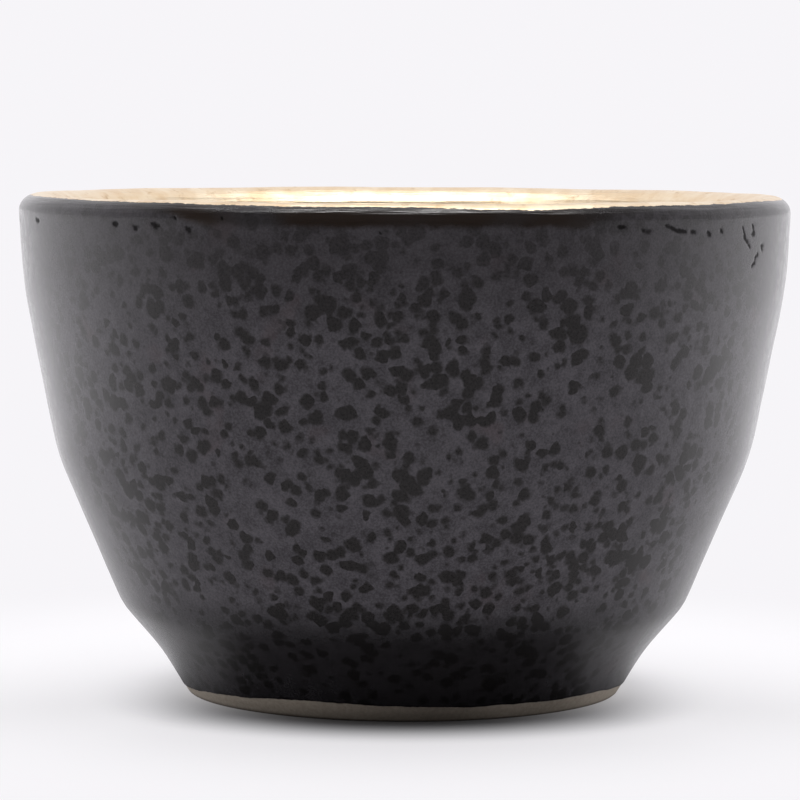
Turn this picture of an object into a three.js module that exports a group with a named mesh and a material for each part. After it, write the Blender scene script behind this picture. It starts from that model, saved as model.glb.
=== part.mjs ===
// A small stoneware sake cup with a trimmed foot, as one turned and hollow body.
// Millimetres, +Z up. The origin is on the turning axis, at the plane the foot stands on.

import * as THREE from 'three';

// Overall sizes
const RIM_DIAMETER = 70.0;
const HEIGHT = 45.35;
const LIP_OUTER_ROUND = 1.5;
const LIP_INNER_ROUND = 2.6;
const LIP_FLARE = 0.08;
const SEGMENTS = 80;
const LARGEST_ARC_STEP = THREE.MathUtils.degToRad(18);

// Foot: a ring that stands on the table, with a shallow recess inside it
const FOOT_RADIUS = 19.8;
const FOOT_EDGE_ROUND = 0.3;
const FOOT_RING_WIDTH = 3.6;
const RECESS_DEPTH = 1.5;
const RECESS_SLOPE = 0.5;
const RECESS_ROUND = 0.6;

// Outside: the flared foot, the bevel cut with the trimming tool, the lower and the upper wall
const BEVEL_START = { radius: 22.3, height: 4.2, round: 20 };
const BEVEL_END = { radius: 25.75, height: 8.2, round: 6 };
const KNUCKLE = { radius: 31.6, height: 21.75, round: 21 };
const SHOULDER = { radius: 34.7, height: 37.3, round: 39 };

// Inside: the wall keeps about its lip's thickness, and grows thicker towards the floor
const LIP_THICKNESS = LIP_OUTER_ROUND + LIP_INNER_ROUND;
const SHOULDER_THICKNESS = 4.0;
const KNUCKLE_THICKNESS = 4.0;
const INNER_ROUND = 60;
const FLOOR_HEIGHT = 5.0;
const FLOOR_DISH = 0.3;
const FLOOR_CORNER = { radius: 20.4, round: 13 };

/** One corner of the outline: distance from the axis, height, and the radius it is rounded by. */
function corner(radius, height, round = 0) {
  return { point: new THREE.Vector2(radius, height), round };
}

/** The points of the arc that rounds one corner and touches both of its straight sides. */
function roundedCorner(before, here, after) {
  if (here.round === 0) {
    return [here.point];
  }
  const back = before.point.clone().sub(here.point).normalize();
  const ahead = after.point.clone().sub(here.point).normalize();
  const halfAngle = Math.acos(back.dot(ahead)) / 2;
  const bisector = back.clone().add(ahead).normalize();
  const centre = here.point.clone().addScaledVector(bisector, here.round / Math.sin(halfAngle));
  const reach = here.round / Math.tan(halfAngle);
  const spoke = here.point.clone().addScaledVector(back, reach).sub(centre);
  const turn = Math.PI - 2 * halfAngle;
  const direction = -Math.sign(back.cross(ahead));
  const steps = Math.max(2, Math.ceil(turn / LARGEST_ARC_STEP));
  const points = [];
  for (let step = 0; step <= steps; step += 1) {
    const angle = direction * turn * step / steps;
    points.push(spoke.clone().rotateAround(new THREE.Vector2(), angle).add(centre));
  }
  return points;
}

/** An outline through the given corners, each rounded by its own radius. */
function roundedOutline(corners) {
  return corners.flatMap((here, index) => {
    const before = corners[Math.max(index - 1, 0)];
    const after = corners[Math.min(index + 1, corners.length - 1)];
    return roundedCorner(before, here, after);
  });
}

/** The half section of the cup, from the middle of its underside round to the middle of its floor. */
function cupSection() {
  const ringInnerRadius = FOOT_RADIUS - FOOT_RING_WIDTH;
  const rimCornerRadius = RIM_DIAMETER / 2 + LIP_FLARE;
  const underside = [
    corner(0, RECESS_DEPTH),
    corner(ringInnerRadius - RECESS_SLOPE, RECESS_DEPTH, RECESS_ROUND),
    corner(ringInnerRadius, 0, FOOT_EDGE_ROUND),
  ];
  const outside = [
    corner(FOOT_RADIUS, 0, FOOT_EDGE_ROUND),
    corner(BEVEL_START.radius, BEVEL_START.height, BEVEL_START.round),
    corner(BEVEL_END.radius, BEVEL_END.height, BEVEL_END.round),
    corner(KNUCKLE.radius, KNUCKLE.height, KNUCKLE.round),
    corner(SHOULDER.radius, SHOULDER.height, SHOULDER.round),
    corner(rimCornerRadius, HEIGHT, LIP_OUTER_ROUND),
  ];
  const inside = [
    corner(rimCornerRadius - LIP_THICKNESS, HEIGHT, LIP_INNER_ROUND),
    corner(SHOULDER.radius - SHOULDER_THICKNESS, SHOULDER.height, INNER_ROUND),
    corner(KNUCKLE.radius - KNUCKLE_THICKNESS, KNUCKLE.height, INNER_ROUND),
    corner(FLOOR_CORNER.radius, FLOOR_HEIGHT, FLOOR_CORNER.round),
    corner(0, FLOOR_HEIGHT - FLOOR_DISH),
  ];
  return roundedOutline([...underside, ...outside, ...inside]);
}

const darkGlaze = new THREE.MeshStandardMaterial({
  name: 'dark_glaze',
  color: new THREE.Color().setRGB(0.235, 0.225, 0.24, THREE.SRGBColorSpace),
  roughness: 0.42,
  metalness: 0,
});

/** The cup: its half section turned once round the upright axis. */
function makeCup() {
  const body = new THREE.LatheGeometry(cupSection(), SEGMENTS);
  body.rotateX(Math.PI / 2);
  const mesh = new THREE.Mesh(body, darkGlaze);
  mesh.name = 'cup';
  return mesh;
}

const group = new THREE.Group();
group.name = 'sake_cup';
group.add(makeCup());

export default group;
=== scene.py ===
import math

import bpy
import numpy as np
from mathutils import Matrix, Vector


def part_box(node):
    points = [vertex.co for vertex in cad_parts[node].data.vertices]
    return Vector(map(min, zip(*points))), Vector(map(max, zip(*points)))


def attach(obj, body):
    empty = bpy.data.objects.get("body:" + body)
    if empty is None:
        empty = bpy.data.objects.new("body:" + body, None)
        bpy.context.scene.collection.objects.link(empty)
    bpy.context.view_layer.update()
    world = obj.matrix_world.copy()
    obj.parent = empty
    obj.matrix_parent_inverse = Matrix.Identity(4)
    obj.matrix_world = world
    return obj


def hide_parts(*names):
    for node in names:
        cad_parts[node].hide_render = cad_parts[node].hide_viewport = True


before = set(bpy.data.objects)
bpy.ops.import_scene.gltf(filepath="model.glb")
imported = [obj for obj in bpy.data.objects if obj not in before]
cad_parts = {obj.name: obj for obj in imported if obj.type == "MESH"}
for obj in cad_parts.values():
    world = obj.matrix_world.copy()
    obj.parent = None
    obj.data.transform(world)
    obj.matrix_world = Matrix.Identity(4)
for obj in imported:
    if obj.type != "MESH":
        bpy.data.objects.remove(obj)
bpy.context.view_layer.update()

# A small stoneware sake cup: charcoal glaze with dark spots outside, gold inside and over the lip,
# and a foot of bare clay. Sizes of the cup are in millimetres, and the mesh itself is in metres.
# Angles round the cup are in degrees from the front, and positive to the right.
MM = 0.001
highest_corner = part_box("cup")[1]
RIM_RADIUS = highest_corner.x / MM
HEIGHT = highest_corner.z / MM

# Corners of the half section: distance from the axis, height, and the radius of the round there
UNDERSIDE = [(0, 1.5, 0), (15.7, 1.5, 0.6), (16.2, 0, 0.3)]
FOOT_EDGE = (19.65, 0, 0.3)
OUTSIDE = [(22.3, 4.2, 20), (25.75, 8.2, 6), (31.6, 21.75, 21), (34.7, 37.3, 39)]
LIP = [(RIM_RADIUS + 0.07, HEIGHT, 1.5), (RIM_RADIUS - 4.03, HEIGHT, 2.6)]
INSIDE = [(30.7, 37.3, 60), (27.6, 21.75, 60), (20.4, 5.0, 13), (0, 4.7, 0)]
UNDERSIDE_RADIUS = FOOT_EDGE[0] - FOOT_EDGE[2]
ARC_STEP = math.radians(1.5)
CREST_DEPTH = 1e-4

# Rows of the mesh, closest at the lip and at the glaze's hem, and its turns round the axis
TURNS = 360
FINEST_ROW = 0.15
WIDEST_ROW = 1.1
ROW_GROWTH = 0.1
MERGE_DISTANCE = MM / 1000
LEAST_WEIGHT = 0.001

# Edges of the brown band and of the gold, outside the crest of the lip: angle, and the length down
# the outside from the crest
BAND_EDGES = [
    (-48, 0.9), (-38, 1.5), (-28, 2.8), (25, 2.8), (33, 1.6),
    (45, 0.9), (110, 1.1), (140, 2.4), (215, 2.6), (250, 1.2),
]
GOLD_EDGES = [
    (-75, 0.4), (-50, 0.6), (-31, 0.85), (0, 0.95), (18, 1.25), (36, 0.95), (60, 0.75), (180, 0.8),
]

# The glaze ends in a thin, beaded hem above the bare foot, lowest at the two sides: angle and height
HEM_HEIGHTS = [
    (-90, 0.45), (-75, 0.85), (-62, 1.15), (-42, 1.5), (-29, 1.72), (-17, 1.76), (-7, 1.6), (0, 1.5),
    (7, 1.52), (15, 1.43), (27, 1.43), (40, 1.4), (55, 1.45), (70, 1.25), (90, 0.8), (180, 1.2),
]
HEM_RIPPLE = 0.15
GLAZE_THICKNESS = 0.08
GLAZE_BEAD = 1.5
BEAD_ROUND = 0.15

# The glaze near the foot is darker, partly where it pools and partly painted shade, strongest in front
# where the cup shades its foot: length from the crest, and angle and share of darkness
POOL_AND_SHADE_REACH = (35.5, 40.5)
POOL_AND_SHADE_SHARES = [(-75, 0.3), (-35, 0.75), (0, 0.87), (25, 0.87), (75, 0.3), (180, 0.6)]

# The bare clay is darker at its bottom edge, a stain with painted contact shadow, and darker higher up in
# front, a painted shade: angle and share of the front shade
STAIN_AND_SHADOW_HEIGHT = 0.4
CLAY_FRONT_SHADE_SHARES = [
    (-30, 0), (-17, 0.23), (-7, 0.48), (7, 0.68), (15, 0.6), (27, 0.24), (40, 0.33), (55, 0.05), (180, 0),
]

# Unevenness left by the potter's hands, as waves round the cup: share, waves in a turn, the angle
# where they start, and how far that moves for each millimetre of height
WALL_DENT = 0.09
WALL_WAVES = [(0.5, 3, 20, 2), (0.3, 7, 0, -3), (0.2, 12, 0, 6)]
WALL_FOOT = (8, 14)
WALL_TOP = (HEIGHT, HEIGHT - 6)
CREST_BLEND = (0, 2)
LIP_DIP = 0.1
LIP_WAVES = [(0.6, 11, 0, 0), (0.25, 5, -30, 0), (0.15, 29, 4, 0)]
LIP_DIP_REACH = 7.0
HEM_WAVES = [(0.3, 5, -20, 0), (0.4, 13, 0, 0), (0.3, 31, 0, 0)]

# The throwing spiral inside, which fades out towards the lip and the middle of the floor
SPIRAL_RIDGE = 0.07
SPIRAL_PITCH = 5.2
SPIRAL_TOP = (-5, -9)
SPIRAL_MIDDLE = (0.5, 4)

# Pinholes and cracks in the glaze under the lip, each a line from one end to the other:
# angle and height of one end, then of the other end, then its half width
PITS = [
    (-44.6, 43.3, -44.2, 43.2, 0.20),
    (-40.6, 43.0, -40.2, 43.0, 0.24),
    (-37.0, 43.3, -36.4, 43.2, 0.24),
    (-33.3, 44.0, -33.2, 43.9, 0.16),
    (-31.2, 43.0, -30.8, 42.9, 0.30),
    (-25.8, 44.0, -25.6, 44.0, 0.15),
    (-3.4, 42.9, -3.3, 42.9, 0.14),
    (30.8, 43.3, 31.2, 43.3, 0.18),
    (34.6, 43.0, 35.8, 42.9, 0.20),
    (39.0, 43.4, 40.2, 43.1, 0.15),
    (40.7, 43.0, 42.4, 42.8, 0.19),
    (43.7, 42.8, 44.8, 42.8, 0.20),
    (47.4, 42.7, 47.7, 42.6, 0.24),
    (50.4, 42.8, 50.7, 42.8, 0.22),
    (56.4, 43.0, 57.0, 42.2, 0.17),
    (57.2, 42.1, 59.0, 41.3, 0.19),
    (59.5, 43.1, 59.8, 42.4, 0.26),
    (63.2, 41.3, 63.3, 41.1, 0.26),
    (61.6, 40.6, 60.2, 39.6, 0.20),
]
PIT_DEPTH = 0.03
PIT_SPREAD = 2.1
PIT_WAVER = 0.12
PIT_WAVER_UP = 6
PIT_WAVER_ALONG = 4
PIT_MARGIN = 0.5
PIT_CUTS = 4
PITS_LOWEST = 30
FAR_AWAY = 99.0

# More pits in the same row round the back, placed by chance between these limits
BACK_PITS = 26
BACK_PIT_SEED = 7
BACK_PIT_ANGLES = (95, 290)
BACK_PIT_SCATTER = 3
BACK_PIT_HEIGHTS = (42.6, 43.6)
BACK_PIT_RUNS = (0.1, 1.6)
BACK_PIT_SLANT = 0.1
BACK_PIT_HALF_WIDTHS = (0.15, 0.26)

# Spots of the glaze: sets of dots of chance sizes, which run together where they are near
SPOT_SPACINGS = [1.25, 1.35, 1.45, 1.55]
SPOT_SET_SHIFT = 50
SPOT_SIZES = 1.2
SPOT_BLUR = 0.3
SPOT_CROWDING = 0.65
SPOT_RAGGEDNESS = 0.3
SPOT_MERGING = 0.28
SPOT_FARTHEST = 1
SPOT_BEND = 0.5
SPOT_BEND_SIZE = 0.8
SPOT_BEND_SHIFT = 9
SPOT_EDGE = 0.17
SPOT_SOFTNESS = 0.17

# Patterns of smooth noise: size, a shift so that no two patterns match, detail and roughness
CROWDING_PATTERN = (5, 7, 1, 0.5)
RAGGED_PATTERN = (0.5, 3, 1, 0.5)
GLAZE_GRAIN = (0.2, 5, 3, 0.7)
GLAZE_MOTTLE = (1.6, 71, 3, 0.6)
RED_PATCHES = (4, 90, 2, 0.5)
BROWN_PATCHES = (9, 13, 1, 0.5)
GOLD_PATCHES = (2.5, 31, 3, 0.6)
GOLD_WEAR = (1.4, 37, 3, 0.65)
GOLD_CRINKLE = (0.7, 41, 3, 0.6)
CLAY_GRAIN = (0.35, 61, 3, 0.65)
CLAY_LINES = (0.5, 67, 2, 0.5)
PIT_SHADE_EDGE = (0.45, 19, 3, 0.6)
BAND_WAVER = (2.5, 11, 3, 0.6)
GOLD_EDGE_WAVER = (3, 17, 1, 0.5)
GOLD_EDGE_CRUMB = (0.7, 23, 3, 0.6)
HEM_WAVER = (0.7, 29, 2, 0.5)
PAPER_CLOUDS = (40, 0, 2, 0.5)

# Where along those patterns, from none to all, a finish comes in
GRAIN_RANGE = (0.3, 0.7)
RED_RANGE = (0.6, 0.75)
BROWN_RANGE = (0.35, 0.6)
GOLD_RANGE = (0.25, 0.75)
WEAR_RANGE = (0.55, 0.75)
# Where the painted shade inside the pits comes in
PIT_SHADE_RANGE = (0.2, 0.95)

# The glaze's colours, as linear red, green, blue and alpha, and how strongly they come in
GROUND_DARK = (0.033, 0.030, 0.0345, 1)
GROUND_PALE = (0.097, 0.0895, 0.101, 1)
GROUND_RED = (0.085, 0.055, 0.058, 1)
# Painted shade on the glaze below the lip
GROUND_UNDER_LIP_SHADE = (0.016, 0.013, 0.013, 1)
SPOT_DARK = (0.012, 0.0105, 0.0105, 1)
SPOT_PALE = (0.027, 0.024, 0.0245, 1)
# Near the foot: the colour of pooling glaze, darkened further by painted shade
POOLED_GLAZE_AND_SHADE = (0.004, 0.0035, 0.0035, 1)
BAND_BLACK = (0.010, 0.0085, 0.0085, 1)
BAND_BROWN = (0.013, 0.0055, 0.0015, 1)
# Painted shade inside the pits
PIT_SHADE_BLACK = (0.004, 0.0035, 0.003, 1)
GRAIN_SHARE = 0.6
MOTTLE_SHARE = 0.4
RED_SHARE = 0.3
# The painted shade below the lip: its share, and the lengths from the crest where it is none and full
UNDER_LIP_SHADE_SHARE = 0.42
UNDER_LIP_SHADE_REACH = (15, 3)
SPOT_LIP_SHARE = 0.6
SPOT_LIP_REACH = (12, 2)
BAND_BLACK_SHARE = 0.55
BAND_SOFTNESS = 0.35
# The ragged edge and the share of the painted shade in the pits
PIT_SHADE_RAGGEDNESS = 1.4
PIT_SHADE_SHARE = 0.8

# The gold's colours and the waver of its edge
GOLD_DEEP = (0.78, 0.59, 0.375, 1)
GOLD_PALE = (0.91, 0.775, 0.575, 1)
GOLD_THIN = (0.42, 0.25, 0.10, 1)
THIN_SHARE = 0.5
GOLD_EDGE_WAVE = 0.2
GOLD_EDGE_ROUGH = 0.4
GOLD_SOFTNESS = 0.04

# The clay's colours and the waver of the hem above it
CLAY_DARK = (0.27, 0.23, 0.185, 1)
CLAY_PALE = (0.54, 0.475, 0.39, 1)
# Brown-black for the stain and painted contact shadow at the clay's bottom edge, and for the painted
# shade in front
CLAY_STAIN_AND_SHADE = (0.03, 0.018, 0.009, 1)
STAIN_AND_SHADE_STRENGTH = 0.8
CLAY_STRETCH = (0.1, 0.1, 1)
HEM_EDGE_WAVE = 0.2
HEM_SOFTNESS = 0.03

# Roughness of each finish, and the height of its relief
GROUND_ROUGHNESS = 0.26
SPOT_ROUGHNESS = 0.22
LIP_ROUGHNESS = 0.16
GOLD_ROUGHNESS = 0.32
THIN_ROUGHNESS = 0.47
CLAY_ROUGHNESS = 0.85
GLAZE_RELIEF = 0.004
GOLD_RELIEF = 0.015
CLAY_RELIEF = 0.02
REFRACTION = 1.5

# Fine lines along the glossy lip
LIP_GLOSS_REACH = (3.0, 1.2)
LIP_LINE_RELIEF = 0.08
LIP_LINE_STRETCH = (0.12, 0.12, 1)
LIP_LINES_PER_MM = 3
LIP_LINE_DETAIL = 2

# The studio, in metres: a white tent, open at the front, with a brightness for each side. Where
# these ranges turn round the cup, -1 is straight in front of it, 0 at its side and 1 behind it.
TENT_WALL = 1.0
TENT_CEILING = 1.0
TENT_FRONT = 0.2
TENT_WALL_TURN = (-0.5, 0.64)
TENT_CEILING_START = (0.75, 0.9)
NEVER_ZERO = 1e-6
BACKGROUND = 0.94
BACKGROUND_TINT = (0.985, 0.97, 1, 1)

# Lamps that show only in the gloss: place towards the back, length, width and brightness
LAMP_HEIGHT = 0.6
LAMPS = [(-0.235, 1.0, 0.05, 10), (0.085, 0.7, 0.04, 7), (-0.2, 0.45, 0.1, 10)]

# A panel in the ceiling that doesn't show in the gloss
PANEL_SIZE = 1.2
PANEL_PLACE = (0, 0.55, 0.9)
PANEL_BRIGHTNESS = 1.3

# The floor: a glowing sheet of paper, shaded round the foot, that fades into the background
SHEET_SIZE = 12
BLACK = (0, 0, 0, 1)
PAPER_DARK = (0.35, 0.35, 0.355, 1)
PAPER_PALE = (0.36, 0.36, 0.365, 1)
PAPER_ROUGHNESS = 0.55
FLOOR_TINT = (1, 0.985, 1.01, 1)
FLOOR_GLOW = 0.58
FLOOR_GLOW_FRONT = 0.66
FLOOR_GLOW_TURN = (-0.3, -0.8)
FLOOR_SHADE = (17.5, 30)
FLOOR_SHADE_FRONT = (20.5, 32)
FLOOR_SHADE_TURN = (-0.2, -0.8)
FLOOR_LEAST_LIGHT = 0.75
FLOOR_LEAST_TURN = (-1, 0.1)
FLOOR_FADE = (28, 80)

# The card that shows only in the gloss: brightness near the cup and far from it, and where the painted
# shadow of the cup on it starts and how far it reaches
CARD_LIFT = 0.0002
CARD_FRONT = (0.255, 0.12)
CARD_BACK = (0.9, 1.44)
CARD_TURN = (-0.9, 0.5)
CARD_FAR = (35, 180)
CARD_SHADOW_START = 18
CARD_SHADOW_REACH_FRONT = 60
CARD_SHADOW_REACH = 26
CARD_SHADOW_TURN = (-1, -0.5)

# The camera: a long lens, a little above the rim, looking slightly down
LENS = 169.3
SENSOR = 36
CAMERA_PLACE = (-0.00036, -0.3432, 0.05295)
CAMERA_PITCH = 4.404
CAMERA_ROLL = 0.235


def rounded_corner(before, here, after):
    """Points of the arc that rounds one corner of the section and touches both of its sides."""
    place, radius = Vector(here[:2]), here[2]
    if radius == 0:
        return [place]
    back = (Vector(before[:2]) - place).normalized()
    ahead = (Vector(after[:2]) - place).normalized()
    half_angle = back.angle(ahead) / 2
    centre = place + (back + ahead).normalized() * radius / math.sin(half_angle)
    spoke = place + back * radius / math.tan(half_angle) - centre
    turn = math.copysign(math.pi - 2 * half_angle, ahead.cross(back))
    steps = max(2, math.ceil(abs(turn) / ARC_STEP))
    return [centre + Matrix.Rotation(turn * step / steps, 2) @ spoke for step in range(steps + 1)]


def cup_section():
    """Radius, height and length from the crest along the whole half section, closely spaced.

    The length from the crest grows down the outside, and is negative inside the cup.
    """
    corners = UNDERSIDE + [FOOT_EDGE] + OUTSIDE + LIP + INSIDE
    points = []
    for index, here in enumerate(corners):
        before = corners[max(index - 1, 0)]
        after = corners[min(index + 1, len(corners) - 1)]
        points += rounded_corner(before, here, after)
    radius, height = np.array(points).T
    walked = np.concatenate([[0], np.cumsum(np.hypot(np.diff(radius), np.diff(height)))])
    crest = walked[height > HEIGHT - CREST_DEPTH].mean()
    return radius, height, crest - walked


def section_rows():
    """Radius, height and length from the crest of each row of the mesh."""
    radius, height, from_crest = cup_section()
    outside = (from_crest > 0) & (radius > UNDERSIDE_RADIUS)
    hem_reach = max(hem for angle, hem in HEM_HEIGHTS)
    hem_middle = np.interp(hem_reach / 2, height[outside], from_crest[outside])
    rows = [from_crest[0]]
    while rows[-1] > from_crest[-1]:
        from_hem = max(abs(rows[-1] - hem_middle) - hem_reach, 0)
        nearest = min(abs(rows[-1]), from_hem)
        rows.append(rows[-1] - min(FINEST_ROW + ROW_GROWTH * nearest, WIDEST_ROW))
    rows[-1] = from_crest[-1]
    rows = np.array(rows)
    return np.interp(-rows, -from_crest, radius), np.interp(-rows, -from_crest, height), rows


def edit(piece, mode):
    """Opens one mesh for editing, with all of it selected."""
    bpy.ops.object.select_all(action="DESELECT")
    bpy.context.view_layer.objects.active = piece
    piece.select_set(True)
    bpy.ops.object.mode_set(mode="EDIT")
    bpy.ops.mesh.select_mode(type=mode)
    bpy.ops.mesh.select_all(action="SELECT")


def finish_edit():
    bpy.ops.object.mode_set(mode="OBJECT")


def note(cup, name, values):
    """Keeps one number for each vertex on the mesh, for the material to read."""
    cup.data.attributes.new(name, "FLOAT", "POINT").data.foreach_set("value", values)


def turned_body(radius, height, from_crest):
    """The half section drawn point by point, then turned once round the axis into a closed body."""
    points = [Vector((r, 0, z)) * MM for r, z in zip(radius, height)]
    bpy.ops.object.select_all(action="DESELECT")
    bpy.ops.mesh.primitive_plane_add(size=MM)
    cup = bpy.context.object
    cup.name = "stoneware_cup"
    edit(cup, "VERT")
    bpy.ops.mesh.merge(type="CENTER")
    bpy.ops.transform.translate(value=points[0])
    for before, here in zip(points, points[1:]):
        bpy.ops.mesh.extrude_vertices_move(TRANSFORM_OT_translate={"value": here - before})
    finish_edit()
    note(cup, "from_crest", from_crest)
    edit(cup, "VERT")
    bpy.ops.mesh.spin(steps=TURNS, angle=math.tau, center=(0, 0, 0), axis=(0, 0, 1))
    bpy.ops.mesh.select_all(action="SELECT")
    bpy.ops.mesh.remove_doubles(threshold=MERGE_DISTANCE)
    bpy.ops.mesh.normals_make_consistent(inside=False)
    finish_edit()
    return cup


def surface(cup):
    """Angle, height, radius and length from the crest of each vertex."""
    count = len(cup.data.vertices)
    corners = np.empty(count * 3)
    cup.data.vertices.foreach_get("co", corners)
    x, y, z = corners.reshape(-1, 3).T / MM
    from_crest = np.empty(count)
    cup.data.attributes["from_crest"].data.foreach_get("value", from_crest)
    return np.degrees(np.arctan2(x, -y)), z, np.hypot(x, y), from_crest


def wave(angle, turns, start):
    """A smooth wave from 0 to 1 that repeats some whole number of times round the cup."""
    return 0.5 - 0.5 * np.cos(np.radians(turns * (angle - start)))


def waves(angle, height, rows):
    """Several such waves together, each with its share, and leaning with the height."""
    return sum(share * wave(angle, turns, start + lean * height) for share, turns, start, lean in rows)


def round_the_cup(angle, rows):
    """A number that is given at some angles, at every angle."""
    return np.interp(angle, *zip(*rows), period=360)


def fade(value, none, full):
    """0 at none, 1 at full, and smooth between them."""
    share = np.clip((value - none) / (full - none), 0, 1)
    return share * share * (3 - 2 * share)


def between(first, second, share):
    """From first, where share is 0, to second, where it is 1."""
    return first + (second - first) * share


def shift(cup, weights, depth, direction="NORMAL"):
    """Moves the surface by depth millimetres, times the weight of each vertex."""
    group = cup.vertex_groups.new(name="shift")
    for index in np.flatnonzero(weights > LEAST_WEIGHT):
        group.add([int(index)], float(weights[index]), "REPLACE")
    modifier = cup.modifiers.new("shift", "DISPLACE")
    modifier.vertex_group = group.name
    modifier.direction = direction
    modifier.mid_level = 0
    modifier.strength = depth * MM
    bpy.ops.object.modifier_apply(modifier=modifier.name)
    cup.vertex_groups.clear()


def leave_hand_marks(cup):
    """The small unevenness of a thrown cup: its wall, the throwing spiral inside and its lip."""
    angle, height, radius, from_crest = surface(cup)
    on_wall = fade(height, *WALL_FOOT) * fade(height, *WALL_TOP)
    outside = fade(from_crest, *CREST_BLEND)
    shift(cup, waves(angle, height, WALL_WAVES) * on_wall * outside, -WALL_DENT)
    spiral = wave(angle, 1, 360 * from_crest / SPIRAL_PITCH)
    on_inside = fade(from_crest, *SPIRAL_TOP) * fade(radius, *SPIRAL_MIDDLE)
    shift(cup, spiral * on_inside, SPIRAL_RIDGE)
    near_crest = fade(abs(from_crest), LIP_DIP_REACH, 0)
    shift(cup, waves(angle, height, LIP_WAVES) * near_crest, -LIP_DIP, "Z")


def note_lip_edges(cup):
    """Notes how far outside the edges of the gold and of the brown band each vertex is."""
    angle, _, _, from_crest = surface(cup)
    note(cup, "past_gold", from_crest - round_the_cup(angle, GOLD_EDGES))
    note(cup, "past_band", from_crest - round_the_cup(angle, BAND_EDGES))


def glaze_down_to_hem(cup):
    """Notes how far above the hem each vertex is, and thickens the glaze in a bead along the hem."""
    angle, height, radius, from_crest = surface(cup)
    hem = round_the_cup(angle, HEM_HEIGHTS) - HEM_RIPPLE * waves(angle, height, HEM_WAVES)
    above_hem = height - hem
    above_hem[radius < UNDERSIDE_RADIUS] = -1
    above_hem[from_crest < 0] = HEIGHT
    note(cup, "above_hem", above_hem)
    bead = fade(above_hem, 0, BEAD_ROUND) * np.exp(-np.clip(above_hem, 0, None) / GLAZE_BEAD)
    shift(cup, bead * (from_crest > 0), GLAZE_THICKNESS)


def note_foot_shades(cup):
    """Notes how dark the glaze near the foot is, from pooling and painted shade, and how dark the bare
    clay under it is, from a stain and painted shade.
    """
    angle, height, radius, from_crest = surface(cup)
    # Darker glaze near the foot: pooling, and painted shade that is strongest in front
    note(cup, "pool_and_shade", fade(from_crest, *POOL_AND_SHADE_REACH) * round_the_cup(angle, POOL_AND_SHADE_SHARES))
    # The bottom edge: a stain with painted contact shadow; higher up in front: painted shade
    stain_and_shade = np.maximum(fade(height, STAIN_AND_SHADOW_HEIGHT, 0), round_the_cup(angle, CLAY_FRONT_SHADE_SHARES))
    note(cup, "stain_and_shade", stain_and_shade * (radius > UNDERSIDE_RADIUS))


def all_pits():
    """The pits that are listed, and more of them in the same row round the back."""
    chance = np.random.default_rng(BACK_PIT_SEED)
    pits = list(PITS)
    for start in np.linspace(*BACK_PIT_ANGLES, BACK_PITS):
        angle = start + chance.uniform(-BACK_PIT_SCATTER, BACK_PIT_SCATTER)
        height = chance.uniform(*BACK_PIT_HEIGHTS)
        run = chance.uniform(*BACK_PIT_RUNS)
        half_width = chance.uniform(*BACK_PIT_HALF_WIDTHS)
        pits.append((angle, height, angle + run, height - run * BACK_PIT_SLANT, half_width))
    return pits


def pit_weights(cup):
    """How deep each vertex lies in a pit, from 0 on the glaze to 1, and its distance from a pit."""
    angle, height, _, from_crest = surface(cup)
    nearest = np.full(len(angle), FAR_AWAY)
    depth = np.zeros(len(angle))
    for start, top, end, bottom, half_width in all_pits():
        along = (angle - start + 180) % 360 - 180
        along = np.radians(along) * RIM_RADIUS
        run = math.radians(end - start) * RIM_RADIUS
        drop = bottom - top
        along += PIT_WAVER * np.sin(PIT_WAVER_UP * height + PIT_WAVER_ALONG * along)
        share = np.clip((along * run + (height - top) * drop) / (run ** 2 + drop ** 2), 0, 1)
        away = np.hypot(along - share * run, height - top - share * drop)
        away[(from_crest < 0) | (height < PITS_LOWEST)] = FAR_AWAY
        nearest = np.minimum(nearest, away)
        depth = np.maximum(depth, fade(away, half_width * PIT_SPREAD, 0))
    return depth, nearest


def press_pits(cup):
    """Makes the mesh finer round each pit, and presses the pits in."""
    _, nearest = pit_weights(cup)
    close = nearest < PIT_MARGIN
    edit(cup, "FACE")
    bpy.ops.mesh.select_all(action="DESELECT")
    finish_edit()
    for face in cup.data.polygons:
        face.select = bool(close[list(face.vertices)].any())
    bpy.ops.object.mode_set(mode="EDIT")
    bpy.ops.mesh.subdivide(number_cuts=PIT_CUTS)
    finish_edit()
    depth, _ = pit_weights(cup)
    note(cup, "pits", depth)
    shift(cup, depth, -PIT_DEPTH)


def stoneware_cup():
    """The whole cup as one closed and smooth body."""
    cup = turned_body(*section_rows())
    leave_hand_marks(cup)
    note_lip_edges(cup)
    note_foot_shades(cup)
    glaze_down_to_hem(cup)
    press_pits(cup)
    bpy.ops.object.shade_smooth()
    dress(cup)
    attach(cup, "root")
    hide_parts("cup")


class Signal:
    """A value or a vector in a material or a world. Arithmetic on it adds Math nodes."""

    def __init__(self, nodes, socket):
        self.nodes = nodes
        self.socket = socket

    def output(self, name):
        """Another output of the node that this value comes from."""
        return Signal(self.nodes, self.socket.node.outputs[name])

    def __add__(self, other):
        return self.nodes.calculate("ADD", self, other)

    def __sub__(self, other):
        return self.nodes.calculate("SUBTRACT", self, other)

    def __rsub__(self, other):
        return self.nodes.calculate("SUBTRACT", other, self)

    def __mul__(self, other):
        return self.nodes.calculate("MULTIPLY", self, other)

    def __truediv__(self, other):
        return self.nodes.calculate("DIVIDE", self, other)

    __radd__ = __add__
    __rmul__ = __mul__


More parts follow.
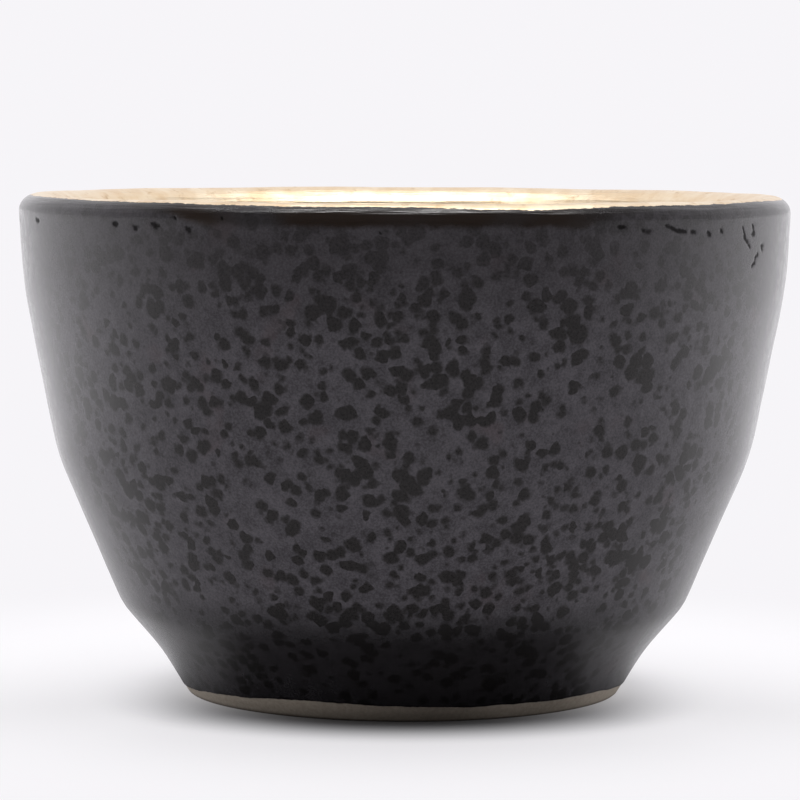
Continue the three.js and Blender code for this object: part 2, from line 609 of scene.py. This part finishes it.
class Nodes:
    """The node tree of a material or a world, built up node by node."""

    def __init__(self, owner):
        owner.use_nodes = True
        self.tree = owner.node_tree
        self.tree.nodes.clear()

    def add(self, kind, settings, inputs, output=0):
        """Adds one node with its settings, then its values and links, and gives one of its outputs.

        The node that ends a tree has no output, and gives nothing.
        """
        made = self.tree.nodes.new(kind)
        for name, value in settings.items():
            setattr(made, name, value)
        for name, value in inputs.items():
            if isinstance(value, Signal):
                self.tree.links.new(value.socket, made.inputs[name])
            else:
                made.inputs[name].default_value = value
        return Signal(self, made.outputs[output]) if len(made.outputs) else None

    def calculate(self, operation, *values):
        return self.add("ShaderNodeMath", {"operation": operation}, dict(enumerate(values)))

    def step(self, value, low, high):
        """0 at low and 1 at high, with a soft change between them. High may be the lower one."""
        limits = {"Value": value, "From Min": low, "From Max": high}
        return self.add("ShaderNodeMapRange", {"interpolation_type": "SMOOTHSTEP"}, limits)

    def mix(self, share, first, second):
        """The first colour where share is 0, and the second where it is 1."""
        return self.add("ShaderNodeMix", {"data_type": "RGBA"}, {0: share, 6: first, 7: second}, 2)

    def split(self, vector):
        """The first two parts of a vector."""
        x = self.add("ShaderNodeSeparateXYZ", {}, {"Vector": vector}, "X")
        return x, x.output("Y")


class Finish(Nodes):
    """A material whose patterns are measured in millimetres on the piece itself."""

    def __init__(self, name):
        self.material = bpy.data.materials.new(name)
        super().__init__(self.material)
        local = self.add("ShaderNodeTexCoord", {}, {}, "Object")
        inputs = {0: local, "Scale": 1 / MM}
        self.place = self.add("ShaderNodeVectorMath", {"operation": "SCALE"}, inputs)

    def attribute(self, name):
        """A number that was noted on the mesh."""
        return self.add("ShaderNodeAttribute", {"attribute_name": name}, {}, "Fac")

    def moved(self, offset, stretch=(1, 1, 1), tilt=(0, 0, 0)):
        """The place on the piece, moved, stretched and tilted."""
        offsets = (offset, offset, offset)
        inputs = {"Vector": self.place, "Location": offsets, "Scale": stretch, "Rotation": tilt}
        return self.add("ShaderNodeMapping", {}, inputs)

    def noise(self, pattern, **mapping):
        """Smooth noise from about 0 to 1."""
        size, offset, detail, roughness = pattern
        inputs = {"Vector": self.moved(offset, **mapping), "Scale": 1 / size}
        inputs |= {"Detail": detail, "Roughness": roughness}
        return self.add("ShaderNodeTexNoise", {}, inputs)


def set_of_dots(finish, index, spacing):
    """One set of bent dots of chance sizes: about how far each place is outside the nearest one."""
    shift_of_set = SPOT_SET_SHIFT * index
    inputs = {"Vector": finish.moved(shift_of_set + SPOT_BEND_SHIFT), "Scale": 1 / SPOT_BEND_SIZE}
    bend = finish.add("ShaderNodeTexNoise", {}, inputs | {"Detail": 1}, "Color")
    turned = finish.moved(shift_of_set, tilt=(0.5 + index, 0.7 * index, 1 + index))
    inputs = {0: bend, 1: (SPOT_BEND, SPOT_BEND, SPOT_BEND), 2: turned}
    place = finish.add("ShaderNodeVectorMath", {"operation": "MULTIPLY_ADD"}, inputs)
    inputs = {"Vector": place, "Scale": 1 / spacing, "Smoothness": SPOT_BLUR}
    away = finish.add("ShaderNodeTexVoronoi", {"feature": "SMOOTH_F1"}, inputs, "Distance")
    chance = finish.add("ShaderNodeSeparateColor", {}, {"Color": away.output("Color")})
    return away * spacing + (0.5 - chance) * SPOT_SIZES


def spots(finish):
    """Soft, ragged spots: sets of dots that run together where they are near."""
    crowding = (finish.noise(CROWDING_PATTERN) - 0.5) * SPOT_CROWDING
    raggedness = (finish.noise(RAGGED_PATTERN) - 0.5) * SPOT_RAGGEDNESS
    nearest = SPOT_FARTHEST
    for index, spacing in enumerate(SPOT_SPACINGS):
        away = set_of_dots(finish, index, spacing)
        nearest = finish.calculate("SMOOTH_MIN", nearest, away, SPOT_MERGING)
    edge = nearest - crowding + raggedness
    return finish.step(edge, SPOT_EDGE + SPOT_SOFTNESS, SPOT_EDGE - SPOT_SOFTNESS)


def spotted_glaze(finish, from_crest):
    """Satin charcoal glaze: fine grain, a faint red cast in places, and dark spots that run together,
    with painted shade below the lip, and pooling glaze with painted shade near the foot.

    Like the other finishes, it gives its colour, its roughness and the height of its relief.
    """
    dots = spots(finish)
    grain = finish.step(finish.noise(GLAZE_GRAIN), *GRAIN_RANGE)
    mottle = finish.step(finish.noise(GLAZE_MOTTLE), *GRAIN_RANGE)
    ground = finish.mix(grain * GRAIN_SHARE + mottle * MOTTLE_SHARE, GROUND_DARK, GROUND_PALE)
    red = finish.step(finish.noise(RED_PATCHES), *RED_RANGE)
    ground = finish.mix(red * RED_SHARE, ground, GROUND_RED)
    # Painted shade below the lip
    under_lip_shade = finish.step(from_crest, *UNDER_LIP_SHADE_REACH)
    ground = finish.mix(under_lip_shade * UNDER_LIP_SHADE_SHARE, ground, GROUND_UNDER_LIP_SHADE)
    dark = finish.mix(grain, SPOT_DARK, SPOT_PALE)
    paler_dots = dots * between(1, SPOT_LIP_SHARE, finish.step(from_crest, *SPOT_LIP_REACH))
    glaze = finish.mix(paler_dots, ground, dark)
    # Near the foot: pooling glaze and painted shade, strongest in front
    glaze = finish.mix(finish.attribute("pool_and_shade"), glaze, POOLED_GLAZE_AND_SHADE)
    return glaze, between(GROUND_ROUGHNESS, SPOT_ROUGHNESS, dots), grain * GLAZE_RELIEF


def gold_leaf(finish):
    """Gold, a little mottled and crinkled, with browner places where it is thin."""
    patches = finish.step(finish.noise(GOLD_PATCHES), *GOLD_RANGE)
    thin = finish.step(finish.noise(GOLD_WEAR), *WEAR_RANGE)
    gold = finish.mix(patches, GOLD_DEEP, GOLD_PALE)
    gold = finish.mix(thin * THIN_SHARE, gold, GOLD_THIN)
    crinkle = finish.noise(GOLD_CRINKLE)
    return gold, between(GOLD_ROUGHNESS, THIN_ROUGHNESS, thin), crinkle * GOLD_RELIEF


def bare_clay(finish):
    """Unglazed clay, rough and finely grained, with faint turning lines, a stain with painted contact
    shadow at its bottom edge, and painted shade in front.
    """
    grain = finish.noise(CLAY_GRAIN)
    lines = finish.noise(CLAY_LINES, stretch=CLAY_STRETCH)
    clay = finish.mix(grain, CLAY_DARK, CLAY_PALE)
    # Stain and painted contact shadow at the bottom edge, and painted shade in front
    clay = finish.mix(finish.attribute("stain_and_shade") * STAIN_AND_SHADE_STRENGTH, clay, CLAY_STAIN_AND_SHADE)
    return clay, CLAY_ROUGHNESS, (grain + lines) * CLAY_RELIEF


def banded(finish, glaze, uneven):
    """The glaze with its dark band along the lip, which is black in places and brown in others."""
    brown = finish.step(finish.noise(BROWN_PATCHES), *BROWN_RANGE)
    band = finish.mix(brown, BAND_BLACK, BAND_BROWN)
    on_band = finish.step(finish.attribute("past_band") + uneven, BAND_SOFTNESS, -BAND_SOFTNESS)
    return finish.mix(on_band * between(BAND_BLACK_SHARE, 1, brown), glaze, band)


def gold_share(finish):
    """1 on the gold and 0 outside its ragged edge."""
    wave_of_edge = (finish.noise(GOLD_EDGE_WAVER) - 0.5) * GOLD_EDGE_WAVE
    crumb_of_edge = (finish.noise(GOLD_EDGE_CRUMB) - 0.5) * GOLD_EDGE_ROUGH
    past_gold = finish.attribute("past_gold") + wave_of_edge + crumb_of_edge
    return finish.step(past_gold, GOLD_SOFTNESS, -GOLD_SOFTNESS)


def clay_share(finish):
    """1 on the bare clay and 0 on the glaze above its hem."""
    waver = (finish.noise(HEM_WAVER) - 0.5) * HEM_EDGE_WAVE
    return finish.step(finish.attribute("above_hem") + waver, HEM_SOFTNESS, -HEM_SOFTNESS)


def pit_shade_share(finish):
    """How much of the painted shade, dull and black, covers the inside of a pit."""
    ragged = (finish.noise(PIT_SHADE_EDGE) - 0.5) * PIT_SHADE_RAGGEDNESS
    return finish.step(finish.attribute("pits") + ragged, *PIT_SHADE_RANGE) * PIT_SHADE_SHARE


def lip_lines(finish, from_crest):
    """Fine lines that run along the lip."""
    x, y = finish.split(finish.moved(0, stretch=LIP_LINE_STRETCH))
    inputs = {"X": x, "Y": y, "Z": from_crest * LIP_LINES_PER_MM}
    along = finish.add("ShaderNodeCombineXYZ", {}, inputs)
    inputs = {"Vector": along, "Scale": 1, "Detail": LIP_LINE_DETAIL}
    return finish.add("ShaderNodeTexNoise", {}, inputs)


def fired_surface(finish):
    """The colour, roughness, metal and relief of the whole cup, each finish in its own place."""
    from_crest = finish.attribute("from_crest")
    uneven = finish.noise(BAND_WAVER) - 0.5
    on_lip = finish.step(from_crest + uneven, *LIP_GLOSS_REACH)
    on_gold = gold_share(finish)
    on_clay = clay_share(finish)
    glaze, glaze_roughness, glaze_relief = spotted_glaze(finish, from_crest)
    gold, gold_roughness, gold_relief = gold_leaf(finish)
    clay, clay_roughness, clay_relief = bare_clay(finish)
    base = finish.mix(on_gold, banded(finish, glaze, uneven), gold)
    base = finish.mix(on_clay, base, clay)
    roughness = between(glaze_roughness, LIP_ROUGHNESS, on_lip)
    roughness = between(roughness, gold_roughness, on_gold)
    roughness = between(roughness, clay_roughness, on_clay)
    relief = glaze_relief + gold_relief * on_gold + clay_relief * on_clay
    relief = relief + lip_lines(finish, from_crest) * on_lip * LIP_LINE_RELIEF
    return base, roughness, on_gold, relief


def dress(cup):
    """Gives the whole cup its one material."""
    finish = Finish("dark_glaze")
    base, roughness, metal, relief = fired_surface(finish)
    inputs = {"Strength": 1, "Distance": MM, "Height": relief}
    normal = finish.add("ShaderNodeBump", {}, inputs, "Normal")
    look = {"Base Color": base, "Roughness": roughness, "Metallic": metal, "IOR": REFRACTION}
    fired = finish.add("ShaderNodeBsdfPrincipled", {}, look | {"Normal": normal})
    # Painted shade for the inside of the pits: black, with no gloss
    look = {"Base Color": PIT_SHADE_BLACK, "Roughness": 1, "Specular IOR Level": 0}
    pit_shade_shader = finish.add("ShaderNodeBsdfPrincipled", {}, look)
    shader = finish.add("ShaderNodeMixShader", {}, {0: pit_shade_share(finish), 1: fired, 2: pit_shade_shader})
    finish.add("ShaderNodeOutputMaterial", {}, {"Surface": shader})
    cup.data.materials.clear()
    cup.data.materials.append(finish.material)


def sheet(name, finish, lift=0):
    """A flat sheet under the cup, made of one material."""
    bpy.ops.mesh.primitive_plane_add(size=SHEET_SIZE, location=(0, 0, lift))
    made = bpy.context.object
    made.name = name
    made.data.materials.append(finish.material)
    return made


def place_on_sheet(finish):
    """Distance from the cup's axis, and the turn round it, from -1 in front to 1 behind."""
    x, y = finish.split(finish.place)
    away = finish.calculate("SQRT", x * x + y * y)
    return away, y / away


def floor_glow(paper, away, turn):
    """The light of the sheet, with less of it near the foot, where the cup shades it."""
    front = paper.step(turn, *FLOOR_SHADE_TURN)
    start = between(FLOOR_SHADE[0], FLOOR_SHADE_FRONT[0], front)
    end = between(FLOOR_SHADE[1], FLOOR_SHADE_FRONT[1], front)
    least = paper.step(turn, *FLOOR_LEAST_TURN) * FLOOR_LEAST_LIGHT
    lit = between(least, 1, paper.step(away, start, end))
    glow = between(FLOOR_GLOW, FLOOR_GLOW_FRONT, paper.step(turn, *FLOOR_GLOW_TURN))
    return paper.mix(lit * glow, BLACK, FLOOR_TINT)


def floor():
    """A pale sheet that the cup stands on, and that runs into the pale background."""
    paper = Finish("paper")
    away, turn = place_on_sheet(paper)
    shade = paper.mix(paper.noise(PAPER_CLOUDS), PAPER_DARK, PAPER_PALE)
    glow = floor_glow(paper, away, turn)
    look = {"Base Color": shade, "Roughness": PAPER_ROUGHNESS, "Emission Color": glow}
    near = paper.add("ShaderNodeBsdfPrincipled", {}, look | {"Emission Strength": 1})
    far = paper.add("ShaderNodeEmission", {}, {"Color": BACKGROUND_TINT, "Strength": BACKGROUND})
    share = paper.step(away, *FLOOR_FADE)
    shader = paper.add("ShaderNodeMixShader", {}, {0: share, 1: near, 2: far})
    paper.add("ShaderNodeOutputMaterial", {}, {"Surface": shader})
    sheet("floor", paper)


def gloss_card():
    """A card on the floor that shows only in the gloss of the cup: pale behind it and darker in front,
    with a painted shadow of the cup round the foot.
    """
    board = Finish("board")
    away, turn = place_on_sheet(board)
    far = board.step(away, *CARD_FAR)
    light = between(between(*CARD_FRONT, far), between(*CARD_BACK, far), board.step(turn, *CARD_TURN))
    shadow_reach = between(CARD_SHADOW_REACH_FRONT, CARD_SHADOW_REACH, board.step(turn, *CARD_SHADOW_TURN))
    # Painted shadow of the cup on the card, round the foot
    light = light * board.step(away, CARD_SHADOW_START, shadow_reach)
    glow = board.add("ShaderNodeEmission", {}, {"Color": BACKGROUND_TINT, "Strength": light})
    board.add("ShaderNodeOutputMaterial", {}, {"Surface": glow})
    card = sheet("gloss_card", board, CARD_LIFT)
    card.visible_camera = False
    card.visible_diffuse = False
    card.visible_shadow = False


def tent():
    """Soft light from the white walls of the tent, which the camera looks into from its open front."""
    world = bpy.data.worlds.new("tent")
    bpy.context.scene.world = world
    nodes = Nodes(world)
    direction = nodes.add("ShaderNodeTexCoord", {}, {}, "Generated")
    x, y = nodes.split(direction)
    level = nodes.calculate("SQRT", x * x + y * y + NEVER_ZERO)
    wall = between(TENT_FRONT, TENT_WALL, nodes.step(y / level, *TENT_WALL_TURN))
    light = between(wall, TENT_CEILING, nodes.step(x.output("Z"), *TENT_CEILING_START))
    seen = nodes.add("ShaderNodeLightPath", {}, {}, "Is Camera Ray")
    light = between(light, BACKGROUND, seen)
    glow = nodes.add("ShaderNodeBackground", {}, {"Color": BACKGROUND_TINT, "Strength": light})
    nodes.add("ShaderNodeOutputWorld", {}, {"Surface": glow})


def lamp(name, place, length, width, brightness):
    """A flat lamp of an even brightness, which faces down and is never seen itself."""
    bpy.ops.object.light_add(type="AREA", location=place)
    made = bpy.context.object
    made.name = name
    made.data.shape = "RECTANGLE"
    made.data.size = length
    made.data.size_y = width
    made.data.energy = brightness * math.pi * length * width
    made.visible_camera = False
    return made


def lamps():
    """Narrow lamps for the lines of light on the lip and the gold, and a wide soft panel."""
    for index, (place, length, width, brightness) in enumerate(LAMPS):
        name = f"lamp_{index + 1}"
        narrow = lamp(name, (0, place, LAMP_HEIGHT), length, width, brightness)
        narrow.rotation_euler = (math.atan2(place, LAMP_HEIGHT), 0, 0)
        narrow.visible_diffuse = False
    panel = lamp("panel", PANEL_PLACE, PANEL_SIZE, PANEL_SIZE, PANEL_BRIGHTNESS)
    panel.visible_glossy = False


def camera():
    """The photograph's view of the cup."""
    data = bpy.data.cameras.new("camera")
    data.lens = LENS
    data.sensor_width = SENSOR
    view = bpy.data.objects.new("camera", data)
    view.location = CAMERA_PLACE
    pitch = Matrix.Rotation(math.radians(90 - CAMERA_PITCH), 4, "X")
    roll = Matrix.Rotation(math.radians(CAMERA_ROLL), 4, "Z")
    view.rotation_euler = (pitch @ roll).to_euler()
    bpy.context.collection.objects.link(view)
    bpy.context.scene.camera = view


stoneware_cup()
floor()
gloss_card()
tent()
lamps()
camera()
bpy.context.scene.view_settings.view_transform = "Standard"
